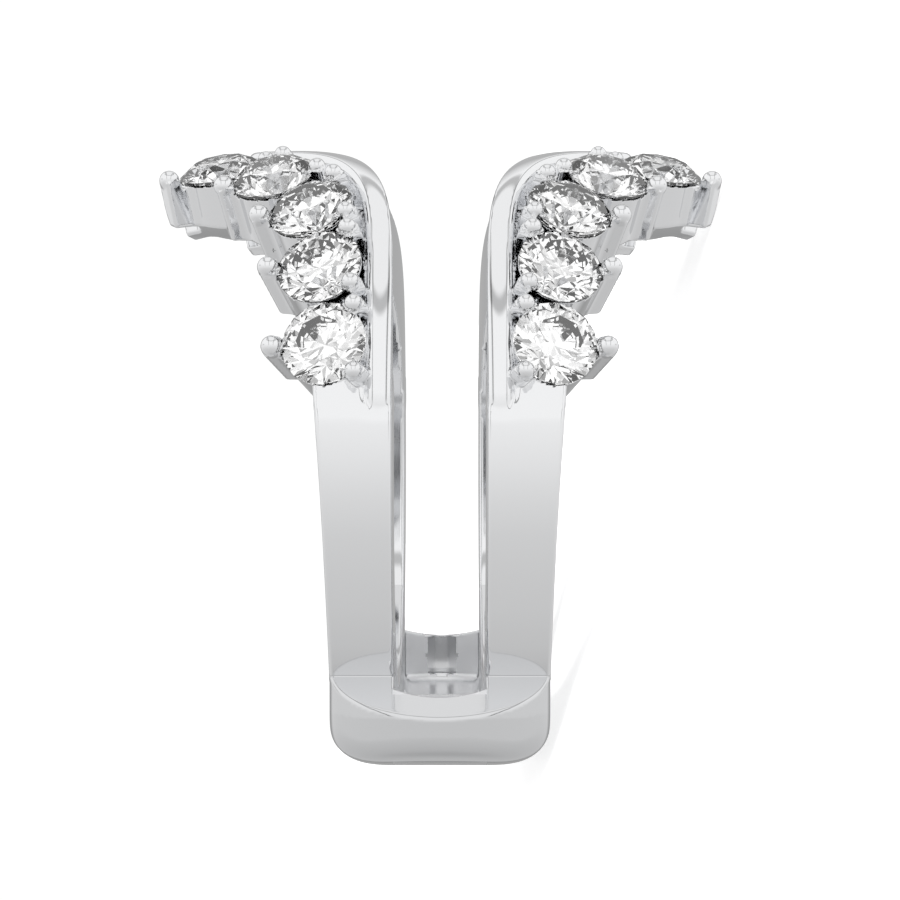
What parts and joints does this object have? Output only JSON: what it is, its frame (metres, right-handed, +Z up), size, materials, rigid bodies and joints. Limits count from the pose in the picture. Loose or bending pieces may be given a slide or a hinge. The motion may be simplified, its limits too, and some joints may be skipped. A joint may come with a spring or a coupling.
{
  "type": "ring guard enhancer",
  "caption": "Open-centred ring guard in white metal: two slim hoops on a squared base and two wings of prong-set round stones that frame another ring's centre stone.",
  "frame": {"origin": "centre of the bounding box, on the surface it lies on", "axes": "+Z up from the surface; +X from the base of the ring toward its head, in the lying position; the finger axis lies in the XZ plane, 18.4 degrees from +Z"},
  "size_m": [0.0248, 0.0234, 0.0195],
  "materials": {
    "white_gold": "high-polish rhodium-plated 14k white gold",
    "diamond": "polished facets"
  },
  "bodies": {
    "root": {"guard_frame": "white_gold", "stone_left_1": "diamond", "stone_left_2": "diamond", "stone_left_3": "diamond", "stone_left_4": "diamond", "stone_left_5": "diamond", "stone_left_6": "diamond", "stone_left_7": "diamond", "stone_left_8": "diamond", "stone_left_9": "diamond", "stone_left_10": "diamond", "stone_right_1": "diamond", "stone_right_2": "diamond", "stone_right_3": "diamond", "stone_right_4": "diamond", "stone_right_5": "diamond", "stone_right_6": "diamond", "stone_right_7": "diamond", "stone_right_8": "diamond", "stone_right_9": "diamond", "stone_right_10": "diamond"}
  },
  "joints": []
}
